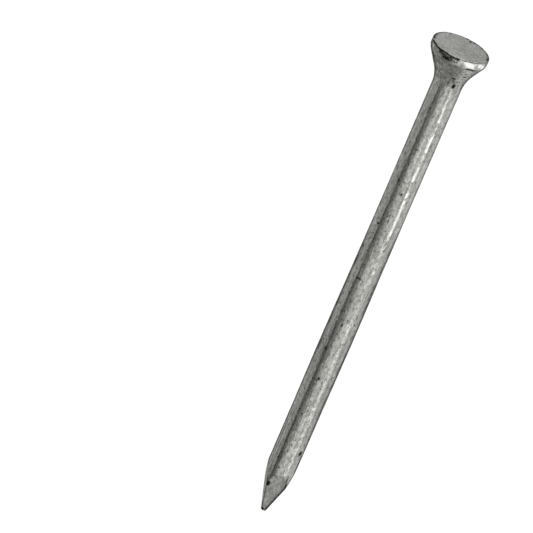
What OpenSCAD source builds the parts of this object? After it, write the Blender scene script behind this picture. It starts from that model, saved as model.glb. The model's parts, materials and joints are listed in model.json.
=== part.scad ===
// Galvanised steel nail: round wire, cold-headed to a flat face with a
// cone-shaped underside, and cut to a four-sided point with a blunt tip.
// The origin is the centre of the head's flat face. The shank runs down
// from it along -Z, and the point's facets face -Y, +Y, -X and +X.

/* [Shank] */
// Diameter of the shank, measured over the zinc
shank_d = 2.8; // [2.4:0.1:3.2]
// Overall length, from the head's flat face to the tip
nail_l = 50; // [30:1:80]

/* [Head] */
// Diameter of the head, measured over the zinc
head_d = 5.6; // [5.2:0.1:6.4]
// Depth of the upright rim, from the flat face to the cone
rim_h = 0.75; // [0.5:0.05:1.2]
// Radius that rounds the edge of the flat face
edge_r = 0.15; // [0.1:0.05:0.3]
// Slope of the cone-shaped underside, from the nail's axis
seat_slope = 30; // [25:1:40]
// Radius of the hollow neck where the cone runs into the shank
neck_r = 3.6; // [1:0.2:3.6]

/* [Point] */
// Slope of the front and back facets, from the nail's axis
front_slope = 15; // [12:0.5:18]
// Slope of the left and right facets, from the nail's axis
side_slope = 13.5; // [12:0.5:18]
// Width of the blunt square tip
tip_w = 0.4; // [0.2:0.1:0.8]

/* [Coating] */
// Thickness of the zinc
zinc_t = 0.05; // [0.02:0.01:0.08]

/* [Hidden] */
$fn = 96;
shank_r = shank_d / 2;
head_r = head_d / 2;
// Where the cone would meet the shank if the neck were a sharp corner
cone_foot_z = -rim_h - (head_r - shank_r) / tan(seat_slope);
// Where the neck's hollow starts on the shank
neck_z = cone_foot_z - neck_r * tan(seat_slope / 2);
// Chords that stand for the rounded edge and for the neck's hollow
edge_steps = 6;
neck_steps = 16;
// The cutting blocks reach well past the shank on every side
block_w = 4 * shank_d;
block_l = nail_l;

// Points along an arc about [x, y], with both ends
function arc(x, y, r, from, to, steps) =
    [for (i = [0:steps])
        let (a = from + (to - from) * i / steps)
            [x + r * cos(a), y + r * sin(a)]];

// Half of the round outline from the face to the tip, drawn in by inset
module half_outline(inset) {
    // How far the corner of rim and cone rises when both are drawn in
    rim_rise = inset * tan(seat_slope / 2);
    polygon(concat(
        [[0, -inset]],
        arc(head_r - edge_r, -edge_r, edge_r - inset, 90, 0, edge_steps),
        [[head_r - inset, -rim_h + rim_rise]],
        arc(shank_r + neck_r, neck_z, neck_r + inset,
            180 - seat_slope, 180, neck_steps),
        [[shank_r - inset, inset - nail_l], [0, inset - nail_l]]
    ));
}

// Block that cuts one facet, facing +X before it is turned
module facet_block(slope, inset) {
    translate([tip_w / 2 - inset / cos(slope), 0, -nail_l])
        rotate([0, slope, 0])
            translate([0, -block_w / 2, -block_l / 2])
                cube([block_w, block_w, block_l]);
}

// The whole nail's form, drawn in by inset all round
module nail_form(inset) {
    difference() {
        rotate_extrude() half_outline(inset);
        for (turn = [0, 180]) {
            rotate([0, 0, turn]) facet_block(side_slope, inset);
            rotate([0, 0, turn + 90]) facet_block(front_slope, inset);
        }
    }
}

// Steel inside the zinc: head, shank and point in one piece of wire
module steel_nail() {
    color([0.42, 0.42, 0.41]) nail_form(zinc_t);
}

// Closed skin of zinc all round the steel
module galvanised_coating() {
    color([0.62, 0.62, 0.60])
        difference() {
            nail_form(0);
            nail_form(zinc_t);
        }
}

steel_nail();
galvanised_coating();
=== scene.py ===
import json
import math

import bpy
import numpy as np
from mathutils import Matrix, Vector


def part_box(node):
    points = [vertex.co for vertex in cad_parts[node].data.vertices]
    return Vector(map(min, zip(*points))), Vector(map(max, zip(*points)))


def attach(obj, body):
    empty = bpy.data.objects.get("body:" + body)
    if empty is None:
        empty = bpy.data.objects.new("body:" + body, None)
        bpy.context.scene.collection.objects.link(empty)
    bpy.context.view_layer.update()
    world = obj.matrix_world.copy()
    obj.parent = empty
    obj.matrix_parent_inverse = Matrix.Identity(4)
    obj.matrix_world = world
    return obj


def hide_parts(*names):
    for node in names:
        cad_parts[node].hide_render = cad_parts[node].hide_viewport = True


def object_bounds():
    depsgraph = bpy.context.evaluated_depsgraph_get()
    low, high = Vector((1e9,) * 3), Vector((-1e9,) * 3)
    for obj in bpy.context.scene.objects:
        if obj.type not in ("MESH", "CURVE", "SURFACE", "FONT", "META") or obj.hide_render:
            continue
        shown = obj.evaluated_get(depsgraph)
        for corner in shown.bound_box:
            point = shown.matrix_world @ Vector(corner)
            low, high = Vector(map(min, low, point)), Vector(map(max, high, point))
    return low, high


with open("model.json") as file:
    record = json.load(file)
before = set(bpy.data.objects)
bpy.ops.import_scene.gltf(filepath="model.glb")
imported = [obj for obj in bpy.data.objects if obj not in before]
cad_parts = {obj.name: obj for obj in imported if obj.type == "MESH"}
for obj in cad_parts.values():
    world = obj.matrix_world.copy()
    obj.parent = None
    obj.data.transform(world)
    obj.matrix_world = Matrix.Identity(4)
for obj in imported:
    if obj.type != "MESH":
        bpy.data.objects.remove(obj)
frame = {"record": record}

# A galvanised nail: a steel core inside a closed skin of zinc. It stands upright on its point,
# with the face of its head at z = 0.
cad_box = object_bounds()

# ---------------------------------------------------------------------------
# Sizes. Lengths are in millimetres, and angles in degrees unless a comment
# says otherwise. Angles round the nail start at the front and go to the right.
# The outer sizes come from the frame, the rest repeat the design's.
# ---------------------------------------------------------------------------
MM = 0.001
SEED = 28050


def measured_sizes():
    """Head radius, nail length and zinc thickness from the two CAD nodes, in mm."""
    outer_lo, outer_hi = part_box("galvanised_coating")
    _, inner_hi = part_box("steel_nail")
    return (
        (outer_hi.x - outer_lo.x) / 2 / MM,
        (outer_hi.z - outer_lo.z) / MM,
        (outer_hi.z - inner_hi.z) / MM,
    )


HEAD_R, NAIL_L, ZINC_T = measured_sizes()
SHANK_R = next(m for m in frame["record"]["mounts"] if m["name"] == "shank")["dims"]["r_mm"]
RIM_H = 0.75
EDGE_R = 0.15
SEAT_SLOPE = 30
NECK_R = 3.6
FRONT_SLOPE = 15
SIDE_SLOPE = 13.5
TIP_HALF_W = 0.2

NECK_Z = (
    -RIM_H
    - (HEAD_R - SHANK_R) / math.tan(math.radians(SEAT_SLOPE))
    - NECK_R * math.tan(math.radians(SEAT_SLOPE / 2))
)
TIP_Z = -NAIL_L

# ---------------------------------------------------------------------------
# Camera: above the plane of the face, and tilted so that the nail leans right
# ---------------------------------------------------------------------------
VIEW_AZIMUTH = -13
VIEW_ELEVATION = 22.5
LEAN = 23.27
# Distances in metres: of the camera from its aim, and between which it sees
CAMERA_DISTANCE, CLIP_NEAR, CLIP_FAR = 1.2, 0.1, 20
# Width that the picture spans at the nail
PICTURE_SPAN = 48.98
SENSOR_W = 36
# The nail's middle lies this far right of and below the picture's centre
NAIL_RIGHT, NAIL_DOWN = 8.8, 1.29


def view_axes():
    """Unit vectors towards the camera, to its right and up, before it is tilted."""
    turn, rise = math.radians(VIEW_AZIMUTH), math.radians(VIEW_ELEVATION)
    across = math.cos(rise)
    back = Vector((math.sin(turn) * across, -math.cos(turn) * across, math.sin(rise)))
    right = Vector((math.cos(turn), math.sin(turn), 0))
    return back, right, back.cross(right)


def make_camera():
    back, right, up = view_axes()
    lean = math.radians(LEAN)
    x_axis = right * math.cos(lean) + up * math.sin(lean)
    y_axis = up * math.cos(lean) - right * math.sin(lean)
    middle = Vector((0, 0, -NAIL_L / 2 * MM))
    aim = middle - x_axis * NAIL_RIGHT * MM + y_axis * NAIL_DOWN * MM
    data = bpy.data.cameras.new("camera")
    data.sensor_width = SENSOR_W
    data.lens = SENSOR_W * CAMERA_DISTANCE / (PICTURE_SPAN * MM)
    data.clip_start, data.clip_end = CLIP_NEAR, CLIP_FAR
    camera = bpy.data.objects.new("camera", data)
    bpy.context.scene.collection.objects.link(camera)
    turn = Matrix((x_axis, y_axis, back)).transposed().to_4x4()
    camera.matrix_world = Matrix.Translation(aim + back * CAMERA_DISTANCE) @ turn
    bpy.context.scene.camera = camera


make_camera()

# ---------------------------------------------------------------------------
# The nail's form, as rings of points from the blunt tip to the face's middle
# ---------------------------------------------------------------------------
# The blunt tip: height over which its border is rounded, the share of its width that is flat,
# and the rings of points within that flat
TIP_ROUND, TIP_FLAT_SHARE, TIP_FLAT_RINGS = 0.1, 0.6, 2
# The corner of rim and cone is rolled over at this radius
ROLL_R = 1.0
# Height above the tip at which two facets meet on the round shank, and how far their edges are
# rounded off
RIDGE_TOP = 3.06
RIDGE_SOFTNESS = 0.018
# Heights above the tip below which the rings lie close, and below which facets can cut them
CLOSE_TOP, CUT_TOP = 6, 8
# The head is pressed off the shank's axis, with its face and rim out of square
HEAD_OFFSET = 0.15
FACE_TILT = 1.0
RIM_LEAN = 0.05
# Heights between which the offset, the tilt and the lean come in
OFFSET_RISE, TILT_RISE, LEAN_RISE = (-4.4, -1.2), (-2.5, -0.5), (-0.85, -0.2)
# Where the rim leans in, and between which distances from there, in radians, that fades out
LEAN_TURN = 32
LEAN_FADE = (0.5, 0.9)
# These keep divisors off zero
LEAST_SINE, LEAST_LENGTH = 1e-3, 1e-12


def facet_half_widths(z, inset):
    """Distance from the axis to the front and to the side facets at height z."""
    above = z - TIP_Z
    front, side = math.radians(FRONT_SLOPE), math.radians(SIDE_SLOPE)
    return (
        TIP_HALF_W + above * math.tan(front) - inset / math.cos(front),
        TIP_HALF_W + above * math.tan(side) - inset / math.cos(side),
    )


def columns(z, front_steps, side_steps):
    """Angles of one ring's points, from the front to the right, with one on each ridge."""
    to_front, to_side = facet_half_widths(min(z, TIP_Z + RIDGE_TOP), 0)
    corner = math.atan2(to_side, to_front)
    front = np.linspace(-corner, corner, front_steps, endpoint=False)
    side = np.linspace(corner, np.pi - corner, side_steps, endpoint=False)
    return np.concatenate([front, side, front + np.pi, side + np.pi])


def outline(inset, steps):
    """Radius and height of each ring, and how far the tip's rings are drawn to the axis."""
    tip_z = TIP_Z + inset
    turn = np.linspace(0, np.pi / 2, steps["tip"])
    flat = np.linspace(0, TIP_FLAT_SHARE, TIP_FLAT_RINGS + 2)[1:-1]
    draw = np.concatenate([flat, TIP_FLAT_SHARE + (1 - TIP_FLAT_SHARE) * np.sin(turn)])
    tip = np.concatenate([np.full(len(flat), tip_z), tip_z + TIP_ROUND * (1 - np.cos(turn))])
    point_top = TIP_Z + CLOSE_TOP
    point = np.linspace(tip[-1], point_top, steps["point"])[1:]
    shank = np.linspace(point_top, NECK_Z, steps["shank"])[1:]
    z = [tip, point, shank]
    r = [np.full(len(part), SHANK_R - inset) for part in z]

    def arc(middle_r, middle_z, radius, start, end, count):
        turn = np.radians(np.linspace(start, end, count))[1:]
        r.append(middle_r + radius * np.cos(turn))
        z.append(middle_z + radius * np.sin(turn))

    def line(end_r, end_z, count):
        share = np.linspace(0, 1, count)[1:]
        start_r, start_z = r[-1][-1], z[-1][-1]
        r.append(start_r + (end_r - start_r) * share)
        z.append(start_z + (end_z - start_z) * share)

    slope = math.radians(SEAT_SLOPE)
    roll_z = -RIM_H + ROLL_R * math.tan(slope / 2)
    roll = ROLL_R - inset
    arc(SHANK_R + NECK_R, NECK_Z, NECK_R + inset, 180, 180 - SEAT_SLOPE, steps["neck"])
    line(HEAD_R - ROLL_R + roll * math.cos(slope), roll_z - roll * math.sin(slope), steps["cone"])
    arc(HEAD_R - ROLL_R, roll_z, roll, -SEAT_SLOPE, 0, steps["roll"])
    line(HEAD_R - inset, -EDGE_R, steps["rim"])
    arc(HEAD_R - EDGE_R, -EDGE_R, EDGE_R - inset, 0, 90, steps["edge"])
    line(0, -inset, steps["face"])
    draw = np.concatenate([draw, np.ones(sum(map(len, r)) - len(draw))])
    return np.concatenate(r)[:-1], np.concatenate(z)[:-1], draw[:-1]


def soft_least(a, b):
    """The lesser of two lengths, with the change from one to the other rounded off."""
    return -RIDGE_SOFTNESS * np.logaddexp(-a / RIDGE_SOFTNESS, -b / RIDGE_SOFTNESS)


def ease(x, start, end):
    """0 up to the start and 1 from the end on, with a smooth rise between."""
    t = np.clip((x - start) / (end - start), 0, 1)
    return t * t * (3 - 2 * t)


def gap(angle, degrees):
    """Angle from a direction given in degrees, from -pi to pi."""
    return np.mod(angle - math.radians(degrees) + np.pi, 2 * np.pi) - np.pi


def form(inset, steps):
    """Radius, height and angle of every point, and which lie on a facet."""
    radius, height, draw = outline(inset, steps)
    angle = np.array([columns(z, steps["front"], steps["side"]) for z in height])
    radius, z = (np.repeat(values[:, None], angle.shape[1], 1) for values in (radius, height))
    to_front, to_side = facet_half_widths(np.maximum(z, TIP_Z + TIP_ROUND), inset)
    front = np.maximum(np.abs(np.cos(angle)), LEAST_SINE)
    side = np.maximum(np.abs(np.sin(angle)), LEAST_SINE)
    cut = soft_least(to_front / front, to_side / side)
    on_point = z < TIP_Z + CUT_TOP
    facet = on_point & (cut < radius)
    radius = np.where(on_point, soft_least(radius, cut), radius) * draw[:, None]
    lean = (1 - ease(np.abs(gap(angle, LEAN_TURN)), *LEAN_FADE)) * ease(z, *LEAN_RISE)
    radius = radius - RIM_LEAN * lean * ease(radius, 0.5 * HEAD_R, 0.9 * HEAD_R)
    return radius, z, angle, facet


def in_space(radius, angle, z):
    """Points from their distance from the axis, angle round it in radians, and height."""
    return np.stack([radius * np.sin(angle), -radius * np.cos(angle), z], -1)


def bend_head(points):
    """Shift the head off the axis and tilt its face."""
    _, right, _ = view_axes()
    x, y, z = np.moveaxis(points, -1, 0)
    to_right = x * right.x + y * right.y
    shift = HEAD_OFFSET * ease(z, *OFFSET_RISE)
    drop = to_right * math.tan(math.radians(FACE_TILT)) * ease(z, *TILT_RISE)
    return np.stack([x - shift * right.x, y - shift * right.y, z - drop], -1)


# ---------------------------------------------------------------------------
# Wear and flaws of the zinc
# ---------------------------------------------------------------------------
# Marks on the side: angle, height, half width, half height, depth, darkness
SIDE_MARKS = [
    (12, -3.33, 0.16, 0.26, 0.04, 1.0),
    (-12, -0.17, 0.2, 0.12, 0.02, 0.9),
    (-30, -0.62, 0.35, 0.12, 0.02, 0.6),
    # The next two marks have no depth: they darken below the left flakes under the head, painted
    # shade
    (-17, -0.5, 0.45, 0.16, 0.0, 0.25),
    (-36, -0.85, 0.6, 0.15, 0.0, 0.25),
    (1, -2.45, 0.22, 0.12, 0.02, 0.7),
    (26, -1.95, 0.24, 0.1, 0.02, 0.7),
    (-11, -2.1, 0.35, 0.08, 0.02, 0.35),
    (-7, -15.1, 0.1, 0.14, 0.03, 0.8),
    (-38, -13.9, 0.15, 0.2, 0.02, 0.5),
    (-14, -13.9, 0.5, 0.08, 0.01, 0.3),
    (-46, -18.67, 0.2, 0.11, 0.03, 0.7),
    (-28, -24.4, 0.24, 0.09, 0.02, 0.9),
    (-18, -29.3, 0.12, 0.13, 0.03, 0.9),
    (-38, -32.1, 0.13, 0.16, 0.03, 0.9),
    (-18, -35.1, 0.12, 0.14, 0.03, 0.8),
    (42, -43.0, 0.26, 0.26, 0.04, 0.9),
    (-38, -46.85, 0.16, 0.3, 0.04, 1.2),
    (-46, -46.4, 0.08, 0.3, 0.02, 0.6),
    (30, -45.9, 0.06, 0.4, 0.02, 0.9),
    (36, -46.5, 0.07, 0.35, 0.02, 0.9),
    (-62, -49.3, 0.16, 0.17, 0.02, 1.2),
    (-52, -49.85, 0.26, 0.2, 0.02, 1.2),
    (131, -9.0, 0.15, 0.2, 0.035, 0.9),
    (164, -24.0, 0.12, 0.16, 0.03, 0.8),
    (205, -38.5, 0.2, 0.16, 0.035, 0.9),
    (98, -29.0, 0.12, 0.15, 0.03, 0.8),
    (238, -13.2, 0.14, 0.16, 0.03, 0.9),
    (287, -21.5, 0.12, 0.16, 0.03, 0.8),
    (262, -33.0, 0.16, 0.18, 0.03, 0.8),
    (150, -44.5, 0.18, 0.2, 0.04, 0.9),
]
# Marks on the face: angle, distance from its middle, half sizes, depth, darkness
FACE_MARKS = [
    (152, 2.22, 0.14, 0.22, 0.03, 0.9),
    (144, 2.42, 0.16, 0.16, 0.02, 0.7),
    (161, 2.48, 0.12, 0.16, 0.02, 0.7),
    (187, 1.8, 0.9, 0.5, 0.0, 0.08),
    (55, 0.4, 0.7, 2.0, 0.0, 0.04),
    (137, 2.55, 0.2, 0.12, 0.02, 0.7),
    (169, 2.62, 0.14, 0.16, 0.03, 0.9),
    (120, 2.6, 0.2, 0.2, 0.03, 0.8),
    (202, 2.6, 0.14, 0.2, 0.02, 0.9),
    (212, 2.62, 0.1, 0.14, 0.02, 0.7),
    (70, 2.62, 0.2, 0.14, 0.02, 0.8),
    (-20, 1.9, 0.12, 0.1, 0.012, 0.3),
    (35, 2.35, 0.16, 0.12, 0.012, 0.25),
    (228, 1.5, 0.2, 0.1, 0.01, 0.2),
    (300, 0.9, 0.12, 0.12, 0.01, 0.2),
]
# Round each mark the zinc is raised in a lip: its place, in half sizes from the mark's middle,
# its half width, and its share of the mark's depth
LIP_PLACE, LIP_HALF_W, LIP_SHARE = 1.5, 0.35, 0.25
# A mark's darkness is raised by this factor and then held to 1, so that its middle is even
MARK_BOOST = 1.5
# Painted shade in the creases round the head, darkest under the rim's left lip: angles they run
# between, height, half height, darkness
SHADED_SIDE_CREASES = [
    (-86, -8, -0.16, 0.1, 1.3),
    (-54, -22, -0.46, 0.09, 0.9),
    (-118, -88, -0.28, 0.26, 0.9),
    (-12, 45, -0.07, 0.035, 0.6),
    (10, 38, -0.82, 0.085, 1.1),
    (95, 140, -0.72, 0.05, 0.8),
    (150, 215, -0.14, 0.08, 0.9),
    (182, 232, -0.7, 0.07, 0.8),
]
# Painted shade along the borders of the face: angles they run between, distance from its middle,
# half width, darkness
SHADED_FACE_BORDERS = [
    (70, 194, 2.67, 0.14, 1.0),
    (194, 228, 2.68, 0.05, 0.6),
    (-140, -88, 2.69, 0.14, 1.2),
]
# How far creases, folds and stains are sunk where they are darkest
CREASE_DEPTH = 0.02
# How far the creases wander, and the fade at their ends in degrees
CREASE_WANDER, CREASE_FADE = 0.03, 5
# Cells round the nail of that wandering, and of the patches in which their darkness changes
WANDER_CELLS, PATCH_CELLS = 36, 44
# Middle value and change of the factor on their darkness
PATCH_MIDDLE, PATCH_CHANGE = 0.9, 0.2
# Noise with cells this long hardly changes along the head
LONG_PITCH = 60.0
# The side ends at this height, just under the face
SIDE_TOP = -0.01
# Flaking folds where the head was pressed up: angle, height, half width in degrees, half height
FLAKES = [
    (-40, -0.4, 26, 0.34),
    (-20, -0.45, 14, 0.22),
    (168, -0.5, 30, 0.3),
    (232, -0.5, 16, 0.25),
]
# Their darkness, the range of noise in which it comes up, and the distances from the middle, in
# half sizes, between which they begin
FLAKE_DARK, FLAKE_RISE, FLAKE_EDGE = 0.9, (-0.1, 0.3), (1.2, 0.6)
# Dark lines along the shank, partly dirt smeared in patches and partly painted shade and dark
# reflections along its edges, the facets' ridges and beside the highlight: angle, heights it runs
# between, half width, darkness and how much of that is missing in its gaps
DIRT_AND_SHADE_LINES = [
    (-37, -43.0, -2.5, 0.085, 0.6, 0.4),
    (-38, -47.0, -38.0, 0.07, 0.8, 0.3),
    (-80, -36.0, -18.0, 0.26, 0.8, 0.45),
    (7, -40.0, -5.0, 0.05, 0.2, 1.0),
    (58, -44.0, -18.0, 0.42, 0.78, 0.45),
    (42.5, -50.5, -46.0, 0.15, 1.1, 0.15),
    (-42.5, -50.5, -46.8, 0.07, 0.9, 0.4),
    (-137, -50.5, -46.8, 0.15, 0.9, 0.3),
    (-56, -47.5, -38.0, 0.04, 0.5, 0.6),
    (-67, -47.0, -39.5, 0.05, 0.6, 0.5),
    (140, -40.0, -6.0, 0.12, 0.4, 0.6),
    (214, -47.0, -12.0, 0.14, 0.4, 0.6),
]
# Darkness of the stains on the neck and rim, and on the face, the range of noise in which they
# come up, and the heights between which they begin on the neck
NECK_STAIN, FACE_STAIN = 0.22, 0.2
STAIN_RISE, STAIN_END = (0.0, 0.6), (-4.6, -3.6)
# How near the face comes to the facets' cleanness, how bright it is worn and painted with sheen,
# and the range of noise in which that wear comes up
FACE_CLEAN, FACE_WEAR_AND_SHEEN, FACE_RISE = 0.8, 0.13, (-0.8, 0.8)
# Bright wear on the rim, partly a painted highlight on its right side: angles it lies between, the
# heights in which it comes up at its lower and at its upper border, the range of noise in which it
# does, and the fade at its ends in degrees
RIM_WEAR_AND_HIGHLIGHT = [(6, 66), (118, 150), (212, 240)]
WEAR_AND_HIGHLIGHT_LOW, WEAR_AND_HIGHLIGHT_HIGH = (-0.76, -0.64), (-0.12, -0.2)
WEAR_AND_HIGHLIGHT_RISE = (-0.4, 0.15)
WEAR_AND_HIGHLIGHT_FADE = 8
# How far round that wear and painted highlight slants, in radians to a millimetre of the rim's
# height
RIM_WEAR_AND_HIGHLIGHT_SLANT = 0.8
# Bright lines along the shank, partly worn and partly painted highlights: angle, heights they run
# between, half width, strength, gaps
WEAR_AND_HIGHLIGHT_LINES = [
    (15, -21.0, -4.0, 0.12, 0.75, 1.0),
    (-62, -47.0, -39.0, 0.05, 0.4, 0.6),
    (118, -38.0, -9.0, 0.08, 0.4, 1.0),
    (236, -44.0, -16.0, 0.07, 0.4, 1.0),
]
# Extra thickness of the zinc along the shank, the height of its middle, and its spread
SWELL, SWELL_Z, SWELL_SPREAD = 0.052, -31.5, 7
# Dark and bright lines along the shank: how far they wander, and the length of a bend
WANDER, WANDER_PITCH = 0.07, 1.8
# The fade at their ends: its share of their length, and its limit
FADE_SHARE, FADE_LIMIT = 0.2, 4.5
# Their gaps: length in a dark line and in a bright line, cells round the nail, and the range of
# noise in which they open
DARK_LINE_GAP, WEAR_AND_HIGHLIGHT_GAP, GAP_CELLS, GAP_RISE = 0.9, 0.4, 24, (0.3, -0.3)
# Lumps that dirt, wear and the rim's painted highlight follow: share, size across the nail and
# length along it
FLAKE_LUMPS = [(1.0, 0.4, 0.22), (0.5, 0.2, 0.12)]
STAIN_LUMPS = [(1.0, 0.5, 0.45), (0.6, 0.25, 0.22)]
WEAR_AND_HIGHLIGHT_LUMPS = [(1.0, 0.35, 0.2)]
RUBBED_LUMPS = [(1.0, 0.9, 0.9)]
# Lumps of the surface: height, size across the nail and length along it
SHANK_LUMPS = [(0.005, 0.16, 0.4), (0.007, 0.3, 0.5)]
RIM_LUMPS = [(0.014, 0.55, 0.6), (0.006, 0.22, 0.26)]
FACE_LUMPS = [(0.005, 0.6, 0.6)]
FACET_LUMPS = [(0.003, 0.4, 0.5)]
# Low waves of the drawn shank: height, cells round the nail, length of a cell
SHANK_WAVES = [(0.010, 5, 5.0), (0.004, 46, 9.0), (0.003, 90, 1.4)]
# Heights between which the head's relief gives way to the shank's, and the rim's to the face's
SHANK_FADE, FACE_FADE = (-0.7, -4.5), (-0.3, -0.02)
# No dent goes deeper than this share of the zinc
DEEPEST = 0.8
# Width of the space that lumps fill, and how far noise reaches past each end of the nail
NOISE_W, NOISE_END = 7, 1


def smooth_noise(rng, angle, z, turns, pitch):
    """Noise from -1 to 1 over the surface: cells turns to a circle, pitch mm along it."""
    count = int(math.ceil((NAIL_L + 2 * NOISE_END) / pitch)) + 2
    grid = rng.uniform(-1, 1, (count, turns))
    across = np.mod(angle / (2 * np.pi), 1) * turns
    along = (z + NAIL_L + NOISE_END) / pitch
    i, j = np.floor(across).astype(int), np.floor(along).astype(int)
    u, v = ease(across - i, 0, 1), ease(along - j, 0, 1)
    low, high = np.clip(j, 0, count - 1), np.clip(j + 1, 0, count - 1)
    left, right = i % turns, (i + 1) % turns
    near = grid[low, left] * (1 - u) + grid[low, right] * u
    far = grid[high, left] * (1 - u) + grid[high, right] * u
    return near * (1 - v) + far * v


def lumps(rng, points, size, length):
    """Noise from -1 to 1 in space: cells of a size in mm, and a length in mm along the nail."""
    cell = np.array([size, size, length])
    count = np.ceil(np.array([NOISE_W, NOISE_W, NAIL_L + 2 * NOISE_END]) / cell).astype(int) + 2
    grid = rng.uniform(-1, 1, count)
    place = (points + (NOISE_W / 2, NOISE_W / 2, NAIL_L + NOISE_END)) / cell
    low = np.floor(place).astype(int)
    share = ease(place - low, 0, 1)
    total = np.zeros(points.shape[:2])
    for corner in np.ndindex(2, 2, 2):
        weight = np.prod(np.where(corner, share, 1 - share), -1)
        i, j, k = np.moveaxis(np.clip(low + corner, 0, count - 1), -1, 0)
        total += weight * grid[i, j, k]
    return total


def layered(rng, points, layers):
    """Sum of lumps of several sizes, each times its height or share."""
    return sum(height * lumps(rng, points, size, length) for height, size, length in layers)


def marks(points, radius, height):
    """How far each point is sunk, and how dark it is, from all the marks."""
    sunk, dark = np.zeros(points.shape[:2]), np.zeros(points.shape[:2])
    places = [(mark, float(np.interp(mark[1], height, radius)), mark[1]) for mark in SIDE_MARKS]
    places += [(mark, mark[1], 0.0) for mark in FACE_MARKS]
    for (turn, _, half_across, half_along, depth, darkness), out, up in places:
        turn = math.radians(turn)
        away = points - (out * math.sin(turn), -out * math.cos(turn), up)
        around = away @ (math.cos(turn), math.sin(turn), 0)
        along = np.maximum((away**2).sum(-1) - around**2, 0)
        reach = np.sqrt((around / half_across) ** 2 + along / half_along**2)
        core, lip = np.exp(-(reach**3)), np.exp(-(((reach - LIP_PLACE) / LIP_HALF_W) ** 2))
        sunk += depth * core - LIP_SHARE * depth * lip
        dark = np.maximum(dark, np.minimum(1, MARK_BOOST * darkness * core))
    return sunk, dark


def stripes(rng, lines, angle, z, radius, patch):
    """Strength of lines along the nail, broken by gaps of the length patch in mm."""
    total, none = np.zeros(z.shape), np.zeros(z.shape)
    for turn, low, high, half_width, strength, gaps in lines:
        fade = min(FADE_LIMIT, (high - low) * FADE_SHARE)
        wander = WANDER * gaps * smooth_noise(rng, none, z, 1, WANDER_PITCH)
        across = np.exp(-(((gap(angle, turn) * radius + wander) / half_width) ** 2))
        patches = 1 - gaps * ease(smooth_noise(rng, angle, z, GAP_CELLS, patch), *GAP_RISE)
        ends = ease(z, low, low + fade) * ease(z, high, high - fade)
        total = np.maximum(total, strength * patches * across * ends)
    return total


def between(angle, start, end, fade):
    """1 between two angles in degrees and 0 outside them, faded by so many degrees each way."""
    away = np.degrees(np.abs(gap(angle, (start + end) / 2)))
    return 1 - ease(away, (end - start) / 2 - fade, (end - start) / 2 + fade)


def head_wear_and_painted_light(rng, angle, z, radius, points):
    """Darkness of the head's folds and stains and of the painted shade in its creases, and how
    bright it is from wear and painted highlights.
    """
    wander = CREASE_WANDER * smooth_noise(rng, angle, z, WANDER_CELLS, LONG_PITCH)
    patches = smooth_noise(rng, angle, z, PATCH_CELLS, LONG_PITCH)
    patchy = PATCH_MIDDLE + PATCH_CHANGE * patches
    dark = np.zeros(z.shape)
    on_side, on_face = z < SIDE_TOP, z > -EDGE_R
    # Painted shade: the creases round the head and the face's border are darkened where shade
    # falls
    for creases, measure, here in ((SHADED_SIDE_CREASES, z, on_side), (SHADED_FACE_BORDERS, radius, on_face)):
        for start, end, place, half, darkness in creases:
            across = np.exp(-(((measure - place - wander) / half) ** 2)) * here
            crease = darkness * patchy * across * between(angle, start, end, CREASE_FADE)
            dark = np.maximum(dark, crease)
    scales = layered(rng, points, FLAKE_LUMPS)
    for turn, height, half_width, half_height in FLAKES:
        reach = np.hypot(np.degrees(gap(angle, turn)) / half_width, (z - height) / half_height)
        flake = FLAKE_DARK * ease(scales, *FLAKE_RISE) * ease(reach, *FLAKE_EDGE)
        dark = np.maximum(dark, flake)
    stains = ease(layered(rng, points, STAIN_LUMPS), *STAIN_RISE) * ease(z, *STAIN_END)
    dark = np.maximum(dark, stains * np.where(on_side, NECK_STAIN, FACE_STAIN))
    # Bright wear on the rim, partly a painted highlight where its right side catches the light
    upright = ease(z, *WEAR_AND_HIGHLIGHT_LOW) * ease(z, *WEAR_AND_HIGHLIGHT_HIGH)
    slanted = angle + RIM_WEAR_AND_HIGHLIGHT_SLANT * (z + RIM_H / 2)
    wear_and_highlight = sum(between(slanted, start, end, WEAR_AND_HIGHLIGHT_FADE) for start, end in RIM_WEAR_AND_HIGHLIGHT) * upright
    wear_and_highlight = wear_and_highlight * ease(layered(rng, points, WEAR_AND_HIGHLIGHT_LUMPS), *WEAR_AND_HIGHLIGHT_RISE)
    # The face is worn unevenly, and painted lighter towards its left as a painted sheen
    uneven = layered(rng, points, RUBBED_LUMPS) - points[..., 0] / HEAD_R
    wear_and_highlight = np.maximum(wear_and_highlight, FACE_WEAR_AND_SHEEN * ease(uneven, *FACE_RISE) * (z > -EDGE_R / 2))
    return np.clip(dark, 0, 1), wear_and_highlight


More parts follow.
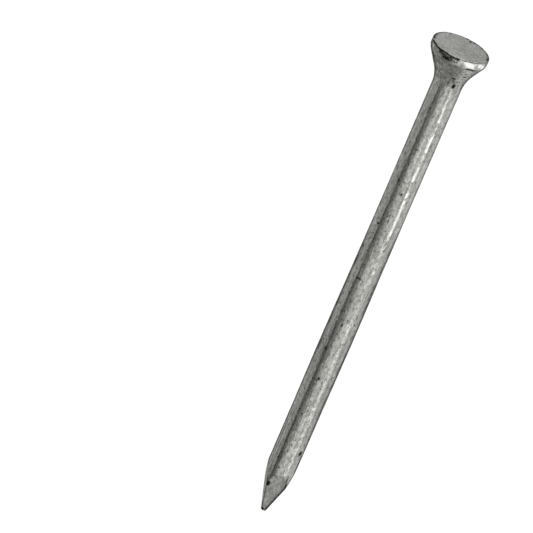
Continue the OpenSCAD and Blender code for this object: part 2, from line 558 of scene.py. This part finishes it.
def rough_zinc(radius, z, angle, facet):
    """Points of the zinc's outer surface, and how dark (dirt and painted shade), how bright (wear
    and painted highlights) and how clean its material is there.
    """
    points = in_space(radius, angle, z)
    side = slice(0, np.argmax(z[:, 0] > -EDGE_R / 2))
    sunk, dark = marks(points, radius[side].max(1), z[side, 0])
    rng = np.random.default_rng(SEED)
    # Every ring takes the angles of the round shank, so that streaks follow the columns down
    even = np.repeat(angle[-1:], angle.shape[0], 0)
    # Dark folds and stains with painted shade in the creases, and bright wear with painted
    # highlights and sheen
    creased, wear_and_highlight = head_wear_and_painted_light(rng, even, z, radius, points)
    shank, face = ease(z, *SHANK_FADE), ease(z, *FACE_FADE)
    drawn, rim = np.where(facet, 0.0, shank), (1 - shank) * (1 - face)
    out = -sunk - CREASE_DEPTH * creased
    for height, cells, length in SHANK_WAVES:
        out += height * smooth_noise(rng, even, z, cells, length) * drawn
    out += SWELL * np.exp(-(((z - SWELL_Z) / SWELL_SPREAD) ** 2)) * drawn
    lumpy = ((SHANK_LUMPS, drawn), (RIM_LUMPS, rim), (FACE_LUMPS, face), (FACET_LUMPS, facet))
    for layers, share in lumpy:
        out += layered(rng, points, layers) * share
    # Dark lines along the shank, partly dirt and partly painted shade and painted dark reflections
    dirt_and_shade_lines = stripes(rng, DIRT_AND_SHADE_LINES, even, z, radius, DARK_LINE_GAP)
    dark = np.maximum(dark, np.maximum(creased, dirt_and_shade_lines))
    # Bright lines along the shank, partly wear and partly painted highlights
    wear_and_highlight = np.maximum(wear_and_highlight, stripes(rng, WEAR_AND_HIGHLIGHT_LINES, even, z, radius, WEAR_AND_HIGHLIGHT_GAP))
    out = np.maximum(out, -DEEPEST * ZINC_T)
    along = np.gradient(points, axis=0)
    around = np.roll(points, -1, 1) - np.roll(points, 1, 1)
    normal = np.cross(around, along)
    normal /= np.maximum(np.linalg.norm(normal, axis=-1, keepdims=True), LEAST_LENGTH)
    clean = np.maximum(facet, FACE_CLEAN * (z > -EDGE_R / 2))
    return points + out[..., None] * normal, (dark, wear_and_highlight, clean)


# ---------------------------------------------------------------------------
# Meshes
# ---------------------------------------------------------------------------
# What the points of a skin say about its surface, for the zinc's material to read
SURFACE = ("dark", "wear_and_highlight", "clean")


def ring_quads(count, around):
    """Faces between each ring of points and the next, for a count of rings of one size."""
    i, j = np.arange(count - 1)[:, None] * around, np.arange(around)[None]
    k = (j + 1) % around
    return np.stack([i + j, i + k, i + around + k, i + around + j], -1).reshape(-1, 4)


def skin(inset, steps, flip=False, rough=False):
    """One closed skin: points in mm, faces, and every point's value for each of SURFACE."""
    radius, z, angle, facet = form(inset, steps)
    if rough:
        points, surface = rough_zinc(radius, z, angle, facet)
    else:
        points = in_space(radius, angle, z)
        surface = np.zeros((len(SURFACE), *z.shape))
    points = bend_head(points)
    count, around = z.shape
    vertices = np.concatenate([points.reshape(-1, 3), [points[0].mean(0), points[-1].mean(0)]])
    j = np.arange(around)
    k, last = (j + 1) % around, (count - 1) * around
    bottom = np.stack([np.full(around, count * around), k, j], -1)
    top = np.stack([np.full(around, count * around + 1), last + j, last + k], -1)
    faces = ring_quads(count, around).tolist() + bottom.tolist() + top.tolist()
    if flip:
        faces = [face[::-1] for face in faces]
    return vertices, faces, [np.concatenate([share.ravel(), [0, 0]]) for share in surface]


def add_mesh(name, points, faces, material):
    mesh = bpy.data.meshes.new(name)
    mesh.from_pydata(points, [], faces)
    mesh.materials.append(material)
    piece = bpy.data.objects.new(name, mesh)
    bpy.context.scene.collection.objects.link(piece)
    return piece


def store(mesh, key, values):
    """Give every point of a mesh a value that its material reads."""
    mesh.attributes.new(key, "FLOAT", "POINT").data.foreach_set("value", values)


def new_piece(name, skins, material, stands_for):
    vertices, faces, start = [], [], 0
    for points, skin_faces, _ in skins:
        vertices.append(points * MM)
        faces += [[start + v for v in face] for face in skin_faces]
        start += len(points)
    piece = add_mesh(name, np.concatenate(vertices).tolist(), faces, material)
    for number, key in enumerate(SURFACE):
        store(piece.data, key, np.concatenate([shares[number] for _, _, shares in skins]))
    piece.data.polygons.foreach_set("use_smooth", np.ones(len(piece.data.polygons), bool))
    piece.data.update()
    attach(piece, "root")
    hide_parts(stands_for)


# Steps across a front and a side facet, and points of the outline in each of its stretches
FINE = dict(
    front=34, side=44, tip=5, point=110, shank=345, neck=32,
    cone=20, roll=10, rim=12, edge=8, face=24,
)
COARSE = dict(
    front=16, side=20, tip=3, point=22, shank=30, neck=9,
    cone=4, roll=3, rim=2, edge=4, face=6,
)


# ---------------------------------------------------------------------------
# Materials
# ---------------------------------------------------------------------------
# Share of the streaks in the zinc's tone, the rest being grain, and the range that is spread
# between its dark and its pale colour
STREAK_SHARE, TONE_RANGE = 0.4, (0.375, 0.625)
ZINC_DARK, ZINC_PALE = (0.25, 0.25, 0.234), (0.66, 0.66, 0.617)
# Laid over that tone in this order: the range of noise in which each comes up, the most that it
# covers, and its colour
MOTTLE_RANGE, MOTTLE_SHARE, MOTTLE_COLOUR = (0.38, 0.62), 0.45, (0.33, 0.33, 0.308)
CLOUD_RANGE, CLOUD_SHARE, CLOUD_COLOUR = (0.45, 0.7), 0.3, (0.3, 0.3, 0.282)
SPECK_RANGE, SPECK_SHARE, SPECK_COLOUR = (0.6, 0.7), 0.75, (0.05, 0.05, 0.045)
# Colour of bright wear and of the painted highlights on the rim and the shank
WEAR_AND_HIGHLIGHT_COLOUR = (0.95, 0.95, 0.93)
# The darkness at which dirt and painted shade cover fully, their colour, and what flecks multiply
# that darkness by
DIRT_AND_SHADE_FULL, DIRT_AND_SHADE_COLOUR, FLECK_FACTORS = 0.9, (0.012, 0.012, 0.011), (0.6, 1.5)
# Share of the specks and dents that is left where the zinc is clean
CLEAN_LEFT = 0.3
# Range that noise mostly keeps to
NOISE_RANGE = (0.3, 0.7)
# Roughness from the dark grain to the pale, and what dirt and painted shade add
GRAIN_ROUGH, DIRT_AND_SHADE_ROUGH = (0.26, 0.12), 0.3
# Depth of the relief of the streaks and of the dents
STREAK_DEPTH, DENT_DEPTH = 0.01, 0.032
# The drawn steel has only streaks: their colours, roughness from dark to pale, and depth
STEEL_DARK, STEEL_PALE = (0.24, 0.24, 0.235), (0.42, 0.42, 0.41)
STEEL_ROUGH, STEEL_DEPTH = (0.35, 0.5), 0.006
# Places of the colour sockets of a Mix node
MIX_FIRST, MIX_SECOND, MIX_RESULT = 6, 7, 2


class Nodes:
    """Short calls for building one material."""

    def __init__(self, name):
        self.material = bpy.data.materials.new(name)
        self.material.use_nodes = True
        self.tree = self.material.node_tree
        self.shader = self.tree.nodes["Principled BSDF"]

    def new(self, kind, **settings):
        node = self.tree.nodes.new(kind)
        for key, value in settings.items():
            setattr(node, key, value)
        return node

    def link(self, source, target):
        self.tree.links.new(source, target)

    def put(self, socket, value):
        """Link another node's output to a socket, or set the socket to a constant."""
        if isinstance(value, bpy.types.NodeSocket):
            self.link(value, socket)
        else:
            socket.default_value = value

    def math(self, operation, *values):
        node = self.new("ShaderNodeMath", operation=operation)
        for socket, value in zip(node.inputs, values):
            self.put(socket, value)
        return node.outputs[0]

    def noise(self, scale, stretch=1.0, detail=2.0, roughness=0.5):
        """Noise over the piece: scale cells to a millimetre, stretch times longer along z."""
        place = self.new("ShaderNodeTexCoord").outputs["Object"]
        mapping = self.new("ShaderNodeMapping")
        mapping.inputs["Scale"].default_value = (scale / MM, scale / MM, scale / MM / stretch)
        self.link(place, mapping.inputs["Vector"])
        node = self.new("ShaderNodeTexNoise")
        self.link(mapping.outputs[0], node.inputs["Vector"])
        node.inputs["Scale"].default_value = 1.0
        node.inputs["Detail"].default_value = detail
        node.inputs["Roughness"].default_value = roughness
        return node.outputs[0]

    def attribute(self, name):
        return self.new("ShaderNodeAttribute", attribute_name=name).outputs["Fac"]

    def spread(self, value, old=(0.0, 1.0), new=(0.0, 1.0)):
        """A value carried over from an old range to a new one, and held within the new one."""
        node = self.new("ShaderNodeMapRange")
        self.put(node.inputs["Value"], value)
        node.inputs["From Min"].default_value, node.inputs["From Max"].default_value = old
        node.inputs["To Min"].default_value, node.inputs["To Max"].default_value = new
        return node.outputs[0]

    def mix(self, share, first, second):
        """A share of the second colour over the first."""
        node = self.new("ShaderNodeMix", data_type="RGBA")
        self.put(node.inputs["Factor"], share)
        for place, value in ((MIX_FIRST, first), (MIX_SECOND, second)):
            self.put(node.inputs[place], (*value, 1) if isinstance(value, tuple) else value)
        return node.outputs[MIX_RESULT]

    def bump(self, height, depth, base=None):
        """Relief of the given depth in millimetres, laid over a base relief if there is one."""
        node = self.new("ShaderNodeBump")
        node.inputs["Strength"].default_value = 1.0
        node.inputs["Distance"].default_value = depth * MM
        self.link(height, node.inputs["Height"])
        if base is not None:
            self.link(base, node.inputs["Normal"])
        return node.outputs[0]


def zinc_material():
    nodes = Nodes("galvanised_zinc")
    dark, wear_and_highlight, clean = (nodes.attribute(name) for name in SURFACE)
    streaks = nodes.noise(scale=7.0, stretch=40.0, detail=3.0, roughness=0.6)
    grain = nodes.noise(scale=4.5, stretch=1.8, detail=3.0, roughness=0.65)
    mottles = nodes.noise(scale=1.9, stretch=1.5, detail=2.0, roughness=0.55)
    clouds = nodes.noise(scale=0.6, stretch=2.5)
    specks = nodes.noise(scale=5.0, stretch=1.6, detail=1.5)
    flecks = nodes.noise(scale=8.0, stretch=1.5)
    dents = nodes.noise(scale=4.0, stretch=2.2, roughness=0.6)
    streaky = nodes.math("MULTIPLY", streaks, STREAK_SHARE)
    grainy = nodes.math("MULTIPLY", grain, 1 - STREAK_SHARE)
    tone = nodes.spread(nodes.math("ADD", streaky, grainy), TONE_RANGE)
    colour = nodes.mix(tone, ZINC_DARK, ZINC_PALE)
    mottled = nodes.spread(mottles, MOTTLE_RANGE, (0.0, MOTTLE_SHARE))
    colour = nodes.mix(mottled, colour, MOTTLE_COLOUR)
    clouded = nodes.spread(clouds, CLOUD_RANGE, (0.0, CLOUD_SHARE))
    colour = nodes.mix(clouded, colour, CLOUD_COLOUR)
    coarse = nodes.spread(clean, new=(1.0, CLEAN_LEFT))
    specked = nodes.spread(specks, SPECK_RANGE, (0.0, SPECK_SHARE))
    specked = nodes.math("MULTIPLY", specked, coarse)
    colour = nodes.mix(specked, colour, SPECK_COLOUR)
    # Bright wear, partly painted highlights on the rim and the shank
    colour = nodes.mix(wear_and_highlight, colour, WEAR_AND_HIGHLIGHT_COLOUR)
    # Flecks break up the dirt and the painted shade
    broken = nodes.math("MULTIPLY", dark, nodes.spread(flecks, NOISE_RANGE, FLECK_FACTORS))
    colour = nodes.mix(nodes.spread(broken, (0.0, DIRT_AND_SHADE_FULL)), colour, DIRT_AND_SHADE_COLOUR)
    nodes.link(colour, nodes.shader.inputs["Base Color"])
    rough = nodes.spread(grain, NOISE_RANGE, GRAIN_ROUGH)
    rough = nodes.math("ADD", rough, nodes.math("MULTIPLY", dark, DIRT_AND_SHADE_ROUGH))
    nodes.link(rough, nodes.shader.inputs["Roughness"])
    nodes.shader.inputs["Metallic"].default_value = 1.0
    relief = nodes.bump(streaks, STREAK_DEPTH)
    relief = nodes.bump(nodes.math("MULTIPLY", dents, coarse), DENT_DEPTH, relief)
    nodes.link(relief, nodes.shader.inputs["Normal"])
    return nodes.material


def steel_material():
    nodes = Nodes("drawn_steel")
    streaks = nodes.noise(scale=8.0, stretch=50.0, detail=3.0, roughness=0.6)
    nodes.link(nodes.mix(streaks, STEEL_DARK, STEEL_PALE), nodes.shader.inputs["Base Color"])
    nodes.link(nodes.spread(streaks, NOISE_RANGE, STEEL_ROUGH), nodes.shader.inputs["Roughness"])
    nodes.shader.inputs["Metallic"].default_value = 1.0
    nodes.link(nodes.bump(streaks, STEEL_DEPTH), nodes.shader.inputs["Normal"])
    return nodes.material


new_piece(
    "zinc_skin",
    [skin(0, FINE, rough=True), skin(ZINC_T, COARSE, flip=True)],
    zinc_material(),
    "galvanised_coating",
)
new_piece("steel_core", [skin(ZINC_T, COARSE)], steel_material(), "steel_nail")

# ---------------------------------------------------------------------------
# Studio: pale floor, even light, and a tent of light that the metal mirrors
# ---------------------------------------------------------------------------
# Distances in metres: of the floor below the point, from its middle to its border, and from the
# tent's middle to its skin
FLOOR_DROP, FLOOR_HALF_W, TENT_R = 1.3, 12, 0.5
FLOOR_SHADE, FLOOR_ROUGH = 0.9, 0.9
WORLD_STRENGTH = 1.15
# Steps of the tent's mesh in half a turn
TENT_STEPS = 180
# Brightness of the tent at heights above its middle, in degrees
TENT_SHADE = [
    (-90, 0.33),
    (-66, 0.42),
    (-50, 0.64),
    (-36, 0.5),
    (22, 0.62),
    (50, 0.7),
    (72, 1.2),
    (90, 1.2),
]
# Soft boxes and black flags on the tent, each laid over those before it. All but the brightness
# is in degrees: angle from the camera to its right, height, half width, half height, brightness,
# softness of its sides, softness of its ends
PANELS = [
    (60, -24, 67, 14, 0.98, 10, 5),
    (-28, -24, 10, 14, 0.32, 8, 5),
    (19, -24, 3, 14, 1.4, 5, 5),
    (34, -24, 4, 14, 0.5, 4, 5),
    (52, -24, 4, 14, 2.5, 5, 5),
    (52, -33, 5, 10, 1.8, 5, 2),
    (80, -24, 7, 14, 0.72, 6, 5),
    (-46, -24, 6, 14, 0.02, 5, 5),
    (-116, -24, 10, 14, 0.75, 10, 5),
    (-80, -58, 40, 12, 0.4, 15, 5),
    (112, -54, 36, 10, 0.85, 20, 5),
    (-149, -30, 9, 24, 0.03, 5, 5),
    (155, -30, 6, 24, 0.04, 5, 5),
    (147, -26.5, 15, 4, 0.02, 5, 2),
    (-150, -32, 12, 9.5, 0.02, 5, 2),
    (61, 0, 55, 10, 1.5, 12, 5),
]


def add_stage(name, points, faces, material):
    piece = add_mesh(name, points, faces, material)
    return piece


def make_floor():
    size, z = FLOOR_HALF_W, cad_box[0].z - FLOOR_DROP
    nodes = Nodes("pale_floor")
    nodes.shader.inputs["Base Color"].default_value = (FLOOR_SHADE, FLOOR_SHADE, FLOOR_SHADE, 1)
    nodes.shader.inputs["Roughness"].default_value = FLOOR_ROUGH
    corners = [(-size, -size, z), (size, -size, z), (size, size, z), (-size, size, z)]
    add_stage("floor", corners, [(0, 1, 2, 3)], nodes.material)


def tent_levels(rise, turn):
    """Brightness of the tent at arrays of heights and angles in degrees."""
    level = np.interp(rise, *zip(*TENT_SHADE))
    for place, height, half_width, half_height, brightness, soft_sides, soft_ends in PANELS:
        across = np.abs(np.mod(turn - place + 180, 360) - 180)
        up = np.abs(rise - height)
        share = ease(across, half_width + soft_sides, half_width - soft_sides)
        share = share * ease(up, half_height + soft_ends, half_height - soft_ends)
        level = level + share * (brightness - level)
    return level


def make_tent():
    nodes = Nodes("tent_light")
    nodes.tree.nodes.remove(nodes.shader)
    glow = nodes.new("ShaderNodeEmission")
    nodes.link(nodes.attribute("level"), glow.inputs["Strength"])
    nodes.link(glow.outputs[0], nodes.tree.nodes["Material Output"].inputs["Surface"])
    rises = np.linspace(-90, 90, TENT_STEPS + 1)
    turns = np.arange(2 * TENT_STEPS) * 180 / TENT_STEPS - 180
    up, across = (grid.ravel() for grid in np.meshgrid(rises, turns, indexing="ij"))
    rise, turn = np.radians(up), np.radians(across)
    points = in_space(TENT_R * np.cos(rise), turn, TENT_R * np.sin(rise))
    faces = ring_quads(TENT_STEPS + 1, 2 * TENT_STEPS)
    tent = add_stage("light_tent", points.tolist(), faces.tolist(), nodes.material)
    store(tent.data, "level", tent_levels(up, across))
    tent.location = (0, 0, -NAIL_L / 2 * MM)
    tent.rotation_euler = (0, 0, math.radians(VIEW_AZIMUTH))
    # Only reflections see the tent
    for kind in ("camera", "diffuse", "transmission", "volume_scatter", "shadow"):
        setattr(tent, "visible_" + kind, False)


def make_world():
    world = bpy.data.worlds.new("studio")
    world.use_nodes = True
    background = world.node_tree.nodes["Background"]
    background.inputs["Color"].default_value = (1, 1, 1, 1)
    background.inputs["Strength"].default_value = WORLD_STRENGTH
    bpy.context.scene.world = world


make_floor()
make_tent()
make_world()
bpy.context.scene.view_settings.view_transform = "Standard"
